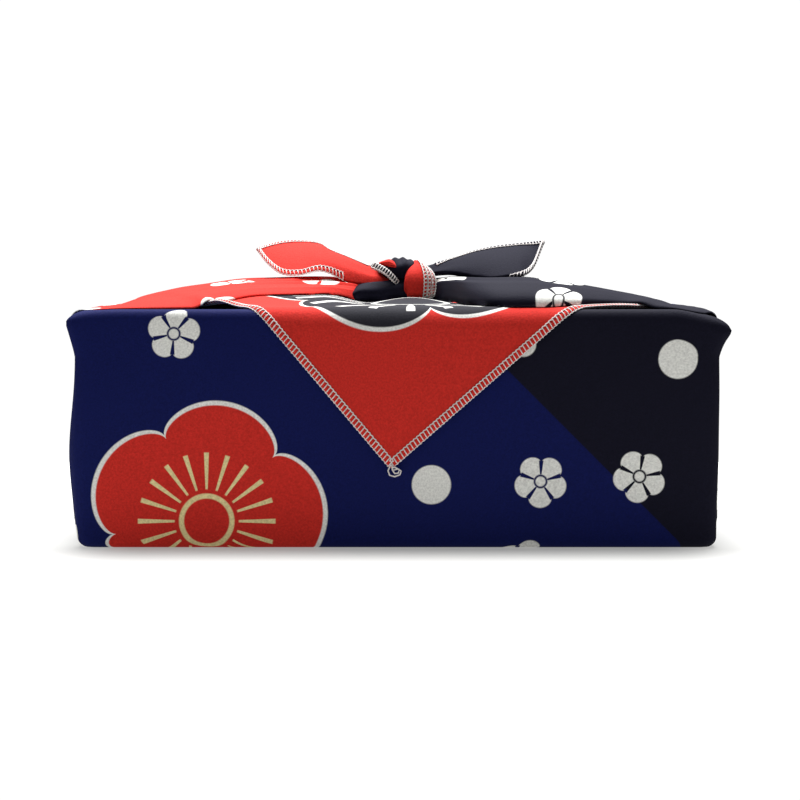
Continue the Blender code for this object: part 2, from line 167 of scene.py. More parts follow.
floor_data = bmesh.new()
bmesh.ops.create_grid(floor_data, x_segments=2, y_segments=2, size=FLOOR_HALF)
floor_mesh = bpy.data.meshes.new("floor")
floor_data.to_mesh(floor_mesh)
floor_data.free()
floor = bpy.data.objects.new("floor", floor_mesh)
bpy.context.scene.collection.objects.link(floor)
floor_glow_and_shadow = plain_material("floor_glow_and_shadow", FLOOR_WHITE, 0.9)
floor_tree = floor_glow_and_shadow.node_tree
glow = floor_tree.nodes["Principled BSDF"].inputs
# Painted glow of the floor, in the emission colour.
glow["Emission Color"].default_value = (*FLOOR_GLOW, 1.0)
# Painted shadow: the glow strength falls with nearness to the rectangle under the box, through a smooth map range.
away = floor_tree.nodes.new("ShaderNodeTexCoord").outputs["Object"]
for operation, other in (("ABSOLUTE", {}), ("SUBTRACT", {1: FLOOR_SHADE}), ("MAXIMUM", {1: (0, 0, 0)}), ("LENGTH", {})):
    step = add_node(floor_tree, "ShaderNodeVectorMath", {0: away, **other})
    step.operation = operation
    away = step.outputs["Value" if operation == "LENGTH" else "Vector"]
fade = floor_tree.nodes.new("ShaderNodeMapRange")
fade.interpolation_type = "SMOOTHSTEP"
fade.inputs["From Min"].default_value, fade.inputs["To Min"].default_value = PAINTED_SHADOW_DEEPEST
fade.inputs["From Max"].default_value, fade.inputs["To Max"].default_value = PAINTED_SHADOW_END
floor_tree.links.new(away, fade.inputs["Value"])
floor_tree.links.new(fade.outputs["Result"], glow["Emission Strength"])
floor_mesh.materials.append(floor_glow_and_shadow)

# %% [markdown]
# ## A small language for shader maths
# The print on the cloth is drawn with many small sums on its flat coordinates. Adding each Math node by hand makes a
# script that nobody can read, so a tiny class wraps a socket and turns Python's own signs into nodes.

# %% Shader maths
class Wire:
    """A value in a node tree. Arithmetic on wires adds Math nodes."""

    def __init__(self, tree, socket):
        self.tree = tree
        self.socket = socket

    def math(self, operation, *others):
        terms = [term.socket if isinstance(term, Wire) else term for term in (self, *others)]
        node = add_node(self.tree, "ShaderNodeMath", dict(enumerate(terms)))
        node.operation = operation
        return Wire(self.tree, node.outputs[0])

    def __add__(self, other):
        return self.math("ADD", other)

    def __sub__(self, other):
        return self.math("SUBTRACT", other)

    def __mul__(self, other):
        return self.math("MULTIPLY", other)

    def __truediv__(self, other):
        return self.math("DIVIDE", other)

    def __abs__(self):
        return self.math("ABSOLUTE")

    def under(self, limit, soft):
        """1 where the value is below the limit, 0 above it, with a soft edge."""
        feeds = {"Value": self.socket, "From Min": limit - soft, "From Max": limit + soft}
        node = add_node(self.tree, "ShaderNodeMapRange", {**feeds, "To Min": 1.0, "To Max": 0.0})
        node.interpolation_type = "SMOOTHSTEP"
        return Wire(self.tree, node.outputs["Result"])

    def inverted(self):
        return (self * -1.0) + 1.0


def distance(a, b):
    """The length of a flat vector given by two wires."""
    return (a * a + b * b).math("SQRT")


def blend_colour(tree, share, under, over):
    """Colour over on colour under where the share is 1. Each colour is a wire's socket or three numbers."""
    node = tree.nodes.new("ShaderNodeMix")
    node.data_type = "RGBA"
    tree.links.new(share.socket, node.inputs["Factor"])
    for name, colour in (("A", under), ("B", over)):
        socket = next(s for s in node.inputs if s.name == name and s.type == "RGBA")
        if isinstance(colour, tuple):
            socket.default_value = (*colour, 1.0)
        else:
            tree.links.new(colour, socket)
    return next(s for s in node.outputs if s.type == "RGBA")


def split_vector(tree, socket):
    """The X and the Y of a vector as wires."""
    parts = add_node(tree, "ShaderNodeSeparateXYZ", {0: socket})
    return Wire(tree, parts.outputs["X"]), Wire(tree, parts.outputs["Y"])


def object_noise(tree, feeds):
    """Noise in an object's own space, as a socket."""
    where = tree.nodes.new("ShaderNodeTexCoord")
    noise = add_node(tree, "ShaderNodeTexNoise", {"Vector": where.outputs["Object"], **feeds})
    return noise.outputs["Factor"] if "Factor" in noise.outputs else noise.outputs["Fac"]


print("shader helpers ready")

# %% [markdown]
# ## The printed crepe
# The cloth is printed in three broad fields that run slantwise, along the sides of the square: red, navy and near
# black. On them lie off-white plum blossoms and dots, and two large blossoms with rays. Every sheet
# has a UV map called `flat` that says where on the flat cloth each point lies, in metres. One material can then draw
# the whole cloth, and the print runs on round every fold. Figures that would be cut by an upright edge of the box, or
# by a large blossom, are left out.

# %% Colours and measures of the print
NAVY = (0.0044, 0.0080, 0.076)
BLACK = (0.0060, 0.0058, 0.0150)
RED = (0.60, 0.028, 0.020)
WHITE = (0.80, 0.80, 0.76)
CREAM = (0.80, 0.68, 0.34)
CHARCOAL = (0.020, 0.020, 0.027)
RED_FIELD = 0.150
BLACK_FIELD = -0.236
PRINT_EDGE = 0.35 * MM
OUTLINE = 1.0 * MM
RANDOMNESS = 0.42
BLOSSOM_SHARE = 0.58
DOT_SHARE = 0.86
BLOSSOM_SPACING = 52 * MM
BLOSSOM_RADIUS = 11.5 * MM
DOT_RADIUS = 8.5 * MM
EYE = (2.6 * MM, 0.45 * MM)
VEINS_FROM = 2.9 * MM
VEINS_TO = 0.80 * BLOSSOM_RADIUS
RING_HALF = 1.1 * MM
SIDE_EDGE_FROM = 0.126
SIDE_EDGE_TO = 0.158
LID_PART = 0.104
SHARP = 0.001
BIG_COLUMNS = ("a", "b", "radius", "turn", "rays_from", "rays_to", "ring")
RED_BLOSSOM = (-0.083, -0.122, 0.052, 0.35, 0.014, 0.030, 0.011)
DARK_BLOSSOM = (0.006, 0.372, 0.066, 1.20, 0.022, 0.054, 0.017)
PLAIN_CORNER = 0.440
PLAIN_END = 0.386
GRAIN = {"Scale": 1150.0, "Detail": 3.0, "Roughness": 0.65}
GRAIN_TONE = (0.9, 0.55)
GRAIN_BUMP = {"Strength": 0.55, "Distance": 0.35 * MM}
CREPE_ROUGHNESS = 0.82
CREPE_SHINE = 0.10


def petals(angle, turn, depth):
    """Five rounded petals: 1 at the middle of a petal, less between two."""
    lobes = abs((angle * 2.5 + turn).math("COSINE")).math("POWER", 0.55)
    return lobes * depth + (1 - depth)


def big_blossom(tree, ground, a, b, shape, fill, line, ray):
    """A large blossom with an outline, a ring round its middle and rays, on the ground colour."""
    size = dict(zip(BIG_COLUMNS, shape))
    across, along = a - size["a"], b - size["b"]
    away = distance(across, along)
    angle = along.math("ARCTAN2", across)
    rim = away / petals(angle, size["turn"], 0.22)
    rays = abs((angle * 10.0).math("SINE")).under(0.35, 0.06)
    rays = rays * away.under(size["rays_to"], PRINT_EDGE) * away.under(size["rays_from"], PRINT_EDGE).inverted()
    ring = abs(away - size["ring"]).under(RING_HALF, PRINT_EDGE)
    ground = blend_colour(tree, rim.under(size["radius"], PRINT_EDGE), ground, fill)
    ground = blend_colour(tree, rays.math("MAXIMUM", ring), ground, ray)
    return blend_colour(tree, abs(rim - size["radius"]).under(OUTLINE, PRINT_EDGE), ground, line)


def small_figures(tree, flat, a, b):
    """1 on the small blossoms and dots, one to each cell of a loose grid, 0 elsewhere."""
    scaled = add_node(tree, "ShaderNodeVectorMath", {0: flat})
    scaled.operation = "SCALE"
    scaled.inputs["Scale"].default_value = 1 / BLOSSOM_SPACING
    grid = {"Vector": scaled.outputs[0], "Scale": 1.0, "Randomness": RANDOMNESS}
    cells = add_node(tree, "ShaderNodeTexVoronoi", grid)
    cells.voronoi_dimensions = "2D"
    offset = add_node(tree, "ShaderNodeVectorMath", {0: scaled.outputs[0], 1: cells.outputs["Position"]})
    offset.operation = "SUBTRACT"
    across, along = (wire * BLOSSOM_SPACING for wire in split_vector(tree, offset.outputs[0]))
    chance = add_node(tree, "ShaderNodeSeparateColor", {0: cells.outputs["Color"]})
    pick = Wire(tree, chance.outputs[0])
    turn = Wire(tree, chance.outputs[1]) * 3.0
    away = distance(across, along)
    angle = along.math("ARCTAN2", across)
    is_blossom = pick.under(BLOSSOM_SHARE, SHARP)
    is_dot = is_blossom.inverted() * pick.under(DOT_SHARE, SHARP)
    shape = away / petals(angle, turn, 0.30)
    blossom = shape.under(BLOSSOM_RADIUS, PRINT_EDGE)
    eye = abs(away - EYE[0]).under(EYE[1], PRINT_EDGE)
    gaps = abs((angle * 2.5 + turn).math("SINE")).under(0.96, 0.015).inverted()
    veins = gaps * away.under(VEINS_TO, PRINT_EDGE) * away.under(VEINS_FROM, PRINT_EDGE).inverted()
    blossom = blossom * (eye.math("MAXIMUM", veins)).inverted() * is_blossom
    dot = away.under(DOT_RADIUS, PRINT_EDGE) * is_dot
    white_part = blossom.math("MAXIMUM", dot)
    white_part = white_part * b.under(PLAIN_CORNER, PRINT_EDGE) * abs(a).under(PLAIN_END, PRINT_EDGE)
    spot_a, spot_b = (wire * BLOSSOM_SPACING for wire in split_vector(tree, cells.outputs["Position"]))
    crowded = abs(spot_a).under(SIDE_EDGE_TO, SHARP) * abs(spot_a).under(SIDE_EDGE_FROM, SHARP).inverted()
    crowded = crowded * abs(spot_b).under(LID_PART, SHARP).inverted()
    for shape in (RED_BLOSSOM, DARK_BLOSSOM):
        large = dict(zip(BIG_COLUMNS, shape))
        reach = distance(spot_a - large["a"], spot_b - large["b"])
        crowded = crowded.math("MAXIMUM", reach.under(large["radius"] + BLOSSOM_RADIUS, SHARP))
    return white_part * crowded.inverted()


def crepe_grain(tree, ground, shader):
    """The crepe's fine grain over the print, as a change of tone and as a bump."""
    speck = Wire(tree, object_noise(tree, GRAIN))
    value = speck * GRAIN_TONE[0] + GRAIN_TONE[1]
    tone = add_node(tree, "ShaderNodeHueSaturation", {"Color": ground, "Value": value.socket})
    tree.links.new(tone.outputs["Color"], shader.inputs["Base Color"])
    bump = add_node(tree, "ShaderNodeBump", {**GRAIN_BUMP, "Height": speck.socket})
    tree.links.new(bump.outputs["Normal"], shader.inputs["Normal"])


def crepe_material(name):
    """The printed crepe of the whole cloth, read from the flat map."""
    made = plain_material(name, NAVY, CREPE_ROUGHNESS)
    tree = made.node_tree
    shader = tree.nodes["Principled BSDF"]
    flat_map = tree.nodes.new("ShaderNodeUVMap")
    flat_map.uv_map = "flat"
    flat = flat_map.outputs["UV"]
    a, b = split_vector(tree, flat)
    slant = b - a
    ground = blend_colour(tree, slant.under(BLACK_FIELD, PRINT_EDGE), NAVY, BLACK)
    ground = blend_colour(tree, slant.under(RED_FIELD, PRINT_EDGE).inverted(), ground, RED)
    ground = blend_colour(tree, small_figures(tree, flat, a, b), ground, WHITE)
    ground = blend_colour(tree, abs(slant - RED_FIELD).under(OUTLINE, PRINT_EDGE), ground, WHITE)
    ground = big_blossom(tree, ground, a, b, RED_BLOSSOM, RED, WHITE, CREAM)
    ground = big_blossom(tree, ground, a, b, DARK_BLOSSOM, CHARCOAL, WHITE, WHITE)
    crepe_grain(tree, ground, shader)
    shader.inputs["Specular IOR Level"].default_value = CREPE_SHINE
    return made


crepe = crepe_material("printed_crepe")
print("crepe has", len(crepe.node_tree.nodes), "nodes")

# %% [markdown]
# ## Sheets from grids
# Each stretch of the cloth is a flat grid that is moved into its fold by a function. The grid's own places run from 0
# to 1, so the function only has to say where such a share of the sheet lies, and where it lies on the flat cloth.

# %% Sheet maker
def smoothstep(low, high, value):
    """Goes from 0 at low to 1 at high without a corner."""
    share = min(max((value - low) / (high - low), 0.0), 1.0)
    return share * share * (3 - 2 * share)


def read_rows(rows, columns, key, wanted):
    """All columns of a table of sections at a place of its key column, on smooth curves through the rows."""
    spot = columns.index(key)
    ordered = sorted(rows, key=lambda row: row[spot])
    keys = [row[spot] for row in ordered]
    wanted = min(max(wanted, keys[0]), keys[-1])
    index = max(i for i in range(len(keys) - 1) if keys[i] <= wanted)
    before, after = ordered[max(index - 1, 0)], ordered[min(index + 2, len(keys) - 1)]
    low, high = ordered[index], ordered[index + 1]
    span = high[spot] - low[spot]
    t = (wanted - low[spot]) / span
    values = {}
    for column, name in enumerate(columns):
        slope_low = (high[column] - before[column]) / (high[spot] - before[spot])
        slope_high = (after[column] - low[column]) / (after[spot] - low[spot])
        start = (2 * t**3 - 3 * t**2 + 1) * low[column] + (t**3 - 2 * t**2 + t) * span * slope_low
        end = (3 * t**2 - 2 * t**3) * high[column] + (t**3 - t**2) * span * slope_high
        values[name] = start + end
    return values


def finish_piece(name, data, finish):
    """Turns a bmesh into a smooth piece of the cloth that rides on the model."""
    mesh = bpy.data.meshes.new(name)
    data.to_mesh(mesh)
    data.free()
    mesh.shade_smooth()
    mesh.materials.append(finish)
    piece = bpy.data.objects.new(name, mesh)
    bpy.context.scene.collection.objects.link(piece)
    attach(piece, "root")
    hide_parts("wrap_cloth")
    return piece


def folded_sheet(name, place, flat_place, along, across, thickness=SHEET, flip=False):
    """A grid whose points are moved by place(u, v), with flat_place(u, v) as its map, and the cloth's thickness."""
    data = bmesh.new()
    bmesh.ops.create_grid(data, x_segments=along, y_segments=across, size=0.5)
    flat_map = data.loops.layers.uv.new("flat")
    shares = {vert: (vert.co.x + 0.5, vert.co.y + 0.5) for vert in data.verts}
    for face in data.faces:
        for loop in face.loops:
            loop[flat_map].uv = flat_place(*shares[loop.vert])
    for vert, (u, v) in shares.items():
        vert.co = place(u, v)
    if flip:
        bmesh.ops.reverse_faces(data, faces=data.faces)
    piece = finish_piece(name, data, crepe)
    if thickness:
        shell = piece.modifiers.new("thickness", "SOLIDIFY")
        shell.thickness = thickness
        shell.offset = 0.0
        shell.use_even_offset = True
    return piece


print("sheet maker ready")

# %% [markdown]
# ## The cloth round the box
# From the bottom the cloth comes up all four sides, turns over the upper edges and runs in over the lid. It is pulled
# tight, so it is nearly flat, with round edges, a slack bulge low on the short sides, a foot that leans in, a pointed
# ear at each upper corner and a lid that slopes down to its right edge. We lay one grid round the box: its first share
# goes round, its second goes from the bottom to the lid. The base is then closed with one face, and its map is scaled
# to meet the map of the walls.

# %% Cloth round the box
EDGE_TOP = 4.5 * MM
EDGE_LOW = 4.2 * MM
CORNER = 4.5 * MM
EAR_COLUMNS = ("out", "drop", "above", "below", "slope")
EAR_LEFT = (4.4 * MM, 5.2 * MM, 4.4 * MM, 14.5 * MM, 0.6 * MM)
EAR_RIGHT = (5.6 * MM, 6.7 * MM, 5.2 * MM, 13.0 * MM, 2.8 * MM)
EAR_DEPTH = 16 * MM
SLOPE_DEPTH = 80 * MM
EAR_FLARE = (0.85, 1.15)
EAR_SOFT = 1.3 * MM
BACK_EAR = 0.7
SLACK_LEFT = 3.0 * MM
SLACK_RIGHT = 0.4 * MM
SLACK_HEIGHT = 41 * MM
SLACK_SPREAD = 25 * MM
TAPER_LEFT = (0.7 * MM, 12 * MM)
TAPER_RIGHT = (0.5 * MM, 40 * MM)
LID_REACH = 29 * MM
BASE_REACH = 40 * MM
STRIP_TOP = 9 * MM
BASE_FLAT = 0.02 * MM
UPRIGHT_CUTS = (0.10, 0.18, 0.70, 0.82, 1.0)
BODY_GRID = (260, 90)


def round_rectangle(share, half_x, half_y, radius):
    """The point and the outward direction at a share of the way round from the middle of the back, and its length."""
    straight_x, straight_y = 2 * (half_x - radius), 2 * (half_y - radius)
    arc = math.pi * radius / 2
    pieces = (
        ("line", straight_x / 2, (0.0, half_y), (-1, 0)),
        ("arc", arc, (-half_x + radius, half_y - radius), 90),
        ("line", straight_y, (-half_x, half_y - radius), (0, -1)),
        ("arc", arc, (-half_x + radius, -half_y + radius), 180),
        ("line", straight_x, (-half_x + radius, -half_y), (1, 0)),
        ("arc", arc, (half_x - radius, -half_y + radius), 270),
        ("line", straight_y, (half_x, -half_y + radius), (0, 1)),
        ("arc", arc, (half_x - radius, half_y - radius), 0),
        ("line", straight_x / 2, (half_x - radius, half_y), (-1, 0)),
    )
    total = sum(piece[1] for piece in pieces)
    left = share * total
    for index, (kind, length, start, way) in enumerate(pieces):
        if left <= length + 1e-9 or index == len(pieces) - 1:
            if kind == "line":
                outward = (way[1], -way[0])
                return (start[0] + way[0] * left, start[1] + way[1] * left), outward, total
            angle = math.radians(way) + left / radius
            outward = (math.cos(angle), math.sin(angle))
            return (start[0] + radius * outward[0], start[1] + radius * outward[1]), outward, total
        left -= length


def upright(share):
    """Inset from the wall, height and cloth length at a share of the way from under the box to the lid."""
    low_arc = math.pi / 2 * EDGE_LOW
    top_arc = math.pi / 2 * EDGE_TOP
    wall = TOP - EDGE_LOW - EDGE_TOP
    lengths = (BASE_REACH, low_arc, wall, top_arc, LID_REACH)
    start = 0.0
    run = 0.0
    for part, (length, cut) in enumerate(zip(lengths, UPRIGHT_CUTS)):
        if share <= cut + 1e-9:
            local = (share - start) / (cut - start) * length
            run += local
            break
        start = cut
        run += length
    if part == 0:
        return EDGE_LOW + BASE_REACH - local, 0.0, run
    if part == 1:
        turn = local / EDGE_LOW
        return EDGE_LOW * (1 - math.sin(turn)), EDGE_LOW * (1 - math.cos(turn)), run
    if part == 2:
        return 0.0, EDGE_LOW + local, run
    if part == 3:
        turn = local / EDGE_TOP
        return EDGE_TOP * (1 - math.cos(turn)), TOP - EDGE_TOP * (1 - math.sin(turn)), run
    return EDGE_TOP + local, TOP, run


def ear_out(x, y, z):
    """How far the pointed fold at an upper corner stands out sideways."""
    shape = dict(zip(EAR_COLUMNS, EAR_LEFT if x < 0 else EAR_RIGHT))
    above = z - (TOP - shape["drop"])
    tall = shape["above"] if above > 0 else shape["below"]
    away = math.hypot(above, EAR_SOFT) - EAR_SOFT
    up = max(0.0, 1 - away / tall) ** EAR_FLARE[0 if above > 0 else 1]
    along = math.exp(-(((HALF_D - abs(y)) / EAR_DEPTH) ** 2))
    return shape["out"] * (BACK_EAR if y > 0 else 1.0) * up * along


def corner_drop(x, y):
    """How far the lid's cloth slopes down at an upper corner."""
    shape = dict(zip(EAR_COLUMNS, EAR_LEFT if x < 0 else EAR_RIGHT))
    along = math.exp(-(((HALF_D - abs(y)) / SLOPE_DEPTH) ** 2))
    return shape["slope"] * smoothstep(HALF_W - 0.020, HALF_W - 0.002, abs(x)) * along


def slack_out(x, y, z):
    """The slack bulge of a short side, and how far its foot leans in."""
    slack = SLACK_LEFT if x < 0 else SLACK_RIGHT
    bulge = slack * math.exp(-(((z - SLACK_HEIGHT) / SLACK_SPREAD) ** 2))
    depth, height = TAPER_LEFT if x < 0 else TAPER_RIGHT
    return bulge * smoothstep(0.0, 0.006, HALF_D - abs(y)) - depth * (1 - smoothstep(0.0, height, z))


def soft_wave(x, y, z):
    """Faint unevenness of tight cloth: long waves and slight pulls towards the upper corners."""
    fade = smoothstep(0.004, 0.020, z) * (1 - 0.5 * smoothstep(TOP - 0.006, TOP, z))
    long_wave = 0.30 * math.sin(38 * x + 21 * z + 0.6) + 0.25 * math.sin(29 * y - 33 * z + 1.9)
    pull = 0.10 * math.sin(95 * x + 120 * z) * smoothstep(0.05, 0.10, z)
    pull += 0.10 * math.sin(118 * x - 150 * z + 1.1) * smoothstep(0.02, 0.09, z)
    return fade * (long_wave + pull) * MM


def body_place(u, v):
    """Where a point of the cloth round the box lies."""
    inset, z, _ = upright(v)
    half_x, half_y = HALF_W - inset, HALF_D - inset
    radius = max(CORNER - inset * 0.2, 1.5 * MM)
    (x, y), outward, _ = round_rectangle(u, half_x, half_y, radius)
    if 0 < z < TOP:
        side = smoothstep(HALF_W - 0.016, HALF_W - 0.002, abs(x))
        front = smoothstep(HALF_D - 0.012, HALF_D - 0.001, abs(y))
        x += math.copysign(1.0, x) * (ear_out(x, y, z) + slack_out(x, y, z)) * side
        wave = soft_wave(x, y, z)
        x += outward[0] * wave
        y += outward[1] * wave * front
        z -= corner_drop(x, y) * smoothstep(TOP - 4 * EDGE_TOP, TOP - EDGE_TOP, z)
    elif z >= TOP:
        fall = smoothstep(0.0, 0.03, inset - EDGE_TOP)
        z = TOP - 0.5 * MM * fall + 0.15 * MM * math.sin(60 * x + 25 * y) * fall - corner_drop(x, y)
    return (x, y, z)


def body_flat(u, v):
    """Where on the flat cloth a point lies, counted from the middle of the front or of the back."""
    _, _, run = upright(v)
    _, _, total = round_rectangle(0.0, HALF_W, HALF_D, CORNER)
    round_length = u * total
    height = run - BASE_REACH
    quarter = total / 4
    if quarter < round_length < total - quarter:
        return (round_length - total / 2, -HALF_D - height)
    if round_length > total / 2:
        round_length -= total
    return (-round_length, HALF_D + height)


body = folded_sheet("cloth_body", body_place, body_flat, *BODY_GRID, thickness=0, flip=True)
body_data = bmesh.new()
body_data.from_mesh(body.data)
bmesh.ops.remove_doubles(body_data, verts=body_data.verts, dist=0.00001)
base_edges = [e for e in body_data.edges if e.is_boundary and e.verts[0].co.z < MM]
base_hole = bmesh.ops.holes_fill(body_data, edges=base_edges, sides=0)
bmesh.ops.recalc_face_normals(body_data, faces=body_data.faces)
flat_layer = body_data.loops.layers.uv["flat"]
for face in base_hole["faces"]:
    face.smooth = True
for face in body_data.faces:
    middle = face.calc_center_median()
    on_side = abs(face.normal.x) > abs(face.normal.y) and middle.z < STRIP_TOP
    for loop in face.loops:
        point = loop.vert.co
        if middle.z < BASE_FLAT:
            loop[flat_layer].uv = (
                point.x * HALF_W / (HALF_W - EDGE_LOW),
                point.y * HALF_D / (HALF_D - EDGE_LOW),
            )
        elif on_side:
            loop[flat_layer].uv = (math.copysign(HALF_W + point.z, point.x), point.y)
body_data.to_mesh(body.data)
body_data.free()
print("cloth round the box", len(body.data.polygons), "faces")

# %% [markdown]
# ## The corner over the front
# The back corner of the cloth lies over the lid and hangs down the front with its right-angled point. It bends over
# the front edge in a soft round, clear of the edge by two millimetres, and leans a little to the right. On the lid it
# swells over the bunched cloth left of the knot and in front of it.

# %% Hanging corner
FLAP_HANG = 69.5 * MM
FLAP_BEND = 9.0 * MM
FLAP_TIP_X = -2.6 * MM
FLAP_TIP_WIDTH = 1.2 * MM
LEFT_SLOPE = 0.845
RIGHT_SLOPE = 1.145
FLAP_LIFT = 0.9 * MM
ARCH_LEFT = (2.3 * MM, 90.5 * MM, 9 * MM)
ARCH_RIGHT = (0.9 * MM, 87 * MM, 11 * MM)
ARCH_WIDTH = 6 * MM
FLAP_OFF_FRONT = 2.4 * MM
FLAP_OFF_TIP = 3.0 * MM
FLAP_SIDE_LIMIT = HALF_W - 21.2 * MM
FLAP_BACK = 2 * HALF_D + FLAP_HANG - 10 * MM
NEAR_SHARE = 0.68
FLAP_GRID = (150, 90)
SIDE_RISE = 4.3 * MM
KNOT_RISE = 3.0 * MM
SIDE_RISE_X = (-0.095, -0.060, -0.034, -0.012)
SIDE_RISE_Y = (-0.100, -0.060, -0.020, 0.020)
KNOT_RISE_AT = (0.007, -0.035)
KNOT_RISE_SPREAD = (0.016, 0.022)


def lid_rise(x, y):
    """How far the corner lies over bunched cloth, left of the knot and in front of it."""
    side = smoothstep(*SIDE_RISE_X[:2], x) * (1 - smoothstep(*SIDE_RISE_X[2:], x))
    side *= smoothstep(*SIDE_RISE_Y[:2], y) * (1 - smoothstep(*SIDE_RISE_Y[2:], y))
    across = (x - KNOT_RISE_AT[0]) / KNOT_RISE_SPREAD[0]
    along = (y - KNOT_RISE_AT[1]) / KNOT_RISE_SPREAD[1]
    front = math.exp(-(across**2) - along**2)
    return SIDE_RISE * side + KNOT_RISE * front


def flap_line(run):
    """Depth and height of the corner at a length run up from its point."""
    off = FLAP_OFF_TIP + (FLAP_OFF_FRONT - FLAP_OFF_TIP) * smoothstep(0.0, 0.045, run)
    y_front = -HALF_D - off
    hang = FLAP_HANG - FLAP_BEND
    bend = FLAP_BEND * math.pi / 2
    top_z = TOP + FLAP_LIFT
    if run < hang:
        return y_front, top_z - FLAP_BEND - (hang - run)
    if run < hang + bend:
        angle = (run - hang) / FLAP_BEND
        return y_front + FLAP_BEND * (1 - math.cos(angle)), top_z - FLAP_BEND * (1 - math.sin(angle))
    return y_front + FLAP_BEND + run - hang - bend, top_z


def flap_edges(run):
    """The left and the right edge of the corner at a length run up from its point."""
    left = max(FLAP_TIP_X - FLAP_TIP_WIDTH / 2 - LEFT_SLOPE * run, -FLAP_SIDE_LIMIT)
    right = min(FLAP_TIP_X + FLAP_TIP_WIDTH / 2 + RIGHT_SLOPE * run, FLAP_SIDE_LIMIT)
    return left, right


def flap_point(x, run):
    """A point of the hanging corner, with its faint ripples."""
    y, z = flap_line(run)
    hanging = smoothstep(0.010, 0.050, run) * (1 - smoothstep(0.060, 0.075, run))
    ripple = hanging * (0.45 * math.sin(34 * x + 0.8) + 0.22 * math.sin(88 * x - 40 * run)) * MM
    lid = smoothstep(0.075, 0.090, run)
    z += lid * 0.25 * MM * math.sin(45 * x + 12 * run) + lid_rise(x, y)
    left, right = flap_edges(run)
    for inward, (rise, middle, spread) in ((x - left, ARCH_LEFT), (right - x, ARCH_RIGHT)):
        z += rise * math.exp(-(((run - middle) / spread) ** 2) - (inward / ARCH_WIDTH) ** 2)
    sink = 1.2 * MM * smoothstep(FLAP_BACK - 0.03, FLAP_BACK, run)
    return Vector((x, y - ripple, z - sink))


def flap_run(u):
    """The length run up from the point at a share of the grid, which is finer near the bend."""
    near = FLAP_HANG + 10 * MM
    if u < NEAR_SHARE:
        return near * u / NEAR_SHARE
    return near + (FLAP_BACK - near) * (u - NEAR_SHARE) / (1 - NEAR_SHARE)


def flap_place(u, v):
    """Where a point of the hanging corner lies."""
    run = flap_run(u)
    left, right = flap_edges(run)
    return flap_point(left + (right - left) * v, run)


def flap_flat(u, v):
    """Where on the flat cloth that point lies."""
    run = flap_run(u)
    left, right = flap_edges(run)
    return (left + (right - left) * v, HALF_DIAGONAL - run)


flap = folded_sheet("cloth_front_corner", flap_place, flap_flat, *FLAP_GRID)
print("hanging corner", len(flap.data.polygons), "faces")

# %% [markdown]
# ## The gathered sides
# Each side of the cloth comes up a short side of the box as a panel between two slanting folds, turns over the edge
# and is gathered towards the knot. It stands off the lid like a low tent, with pleats that close up near the knot.
# The right one rolls over at its front. A table gives the tent's reach and height at a few places, in metres, and a
# smooth curve through its rows fills the rest.

# %% Gathered sides
GATHER_COLUMNS = ("across", "front", "back", "crown", "pleat")
GATHER_LEFT = (
    (0.1362, 0.0965, 0.0960, 0.0004, 0.0000),
    (0.1260, 0.0955, 0.0940, 0.0018, 0.0001),
    (0.1180, 0.0945, 0.0910, 0.0050, 0.0001),
    (0.1050, 0.0930, 0.0850, 0.0081, 0.0002),
    (0.0900, 0.0860, 0.0760, 0.0102, 0.0003),
    (0.0750, 0.0700, 0.0660, 0.0122, 0.0004),
    (0.0600, 0.0560, 0.0540, 0.0125, 0.0006),
    (0.0400, 0.0380, 0.0330, 0.0126, 0.0009),
    (0.0280, 0.0230, 0.0200, 0.0124, 0.0008),
    (0.0210, 0.0165, 0.0150, 0.0121, 0.0004),
    (0.0160, 0.0100, 0.0120, 0.0112, 0.0003),
    (0.0100, 0.0060, 0.0100, 0.0100, 0.0002),
)
GATHER_RIGHT = (
    (0.1362, 0.0880, 0.0940, 0.0001, 0.0000),
    (0.1260, 0.0915, 0.0910, 0.0009, 0.0001),
    (0.1180, 0.0880, 0.0870, 0.0036, 0.0002),
    (0.1100, 0.0800, 0.0830, 0.0054, 0.0003),
    (0.1020, 0.0800, 0.0780, 0.0068, 0.0004),
    (0.0900, 0.0910, 0.0700, 0.0089, 0.0005),
    (0.0760, 0.1010, 0.0600, 0.0110, 0.0007),
    (0.0600, 0.1040, 0.0460, 0.0127, 0.0008),
    (0.0420, 0.1000, 0.0320, 0.0126, 0.0008),
    (0.0320, 0.0760, 0.0220, 0.0128, 0.0008),
    (0.0260, 0.0360, 0.0160, 0.0130, 0.0006),
    (0.0205, 0.0115, 0.0120, 0.0124, 0.0004),
    (0.0160, 0.0070, 0.0100, 0.0104, 0.0003),
    (0.0110, 0.0050, 0.0090, 0.0090, 0.0002),
)
PANEL_LOW = 101 * MM
PANEL_START = 7 * MM
PANEL_OFF = 0.9 * MM
LOW_LIFT = 0.15 * MM
OVER_HEM = 1.2 * MM
OVER_FLAP = 0.65 * MM
HEM_FADE = (5 * MM, 12 * MM)
FLAP_FADE = 12 * MM
TENT = (2.4, 0.75)
ROLL = (6.0, 0.55)
PLEATS = 7
SIDE_PLEATS = 5
WALL_SHARE = 0.30
BEND_SHARE = 0.38
FLAT_NEAR = HALF_DIAGONAL - 115 * MM
FLAT_WIDE = (96 * MM, 75 * MM)
CROWN_LEAST = 0.4 * MM
SIDE_PLEAT = 0.9 * MM
EDGE_TUCK = 0.9 * MM
FOOT_TUCK = 1.2 * MM
GATHER_GRID = (170, 130)


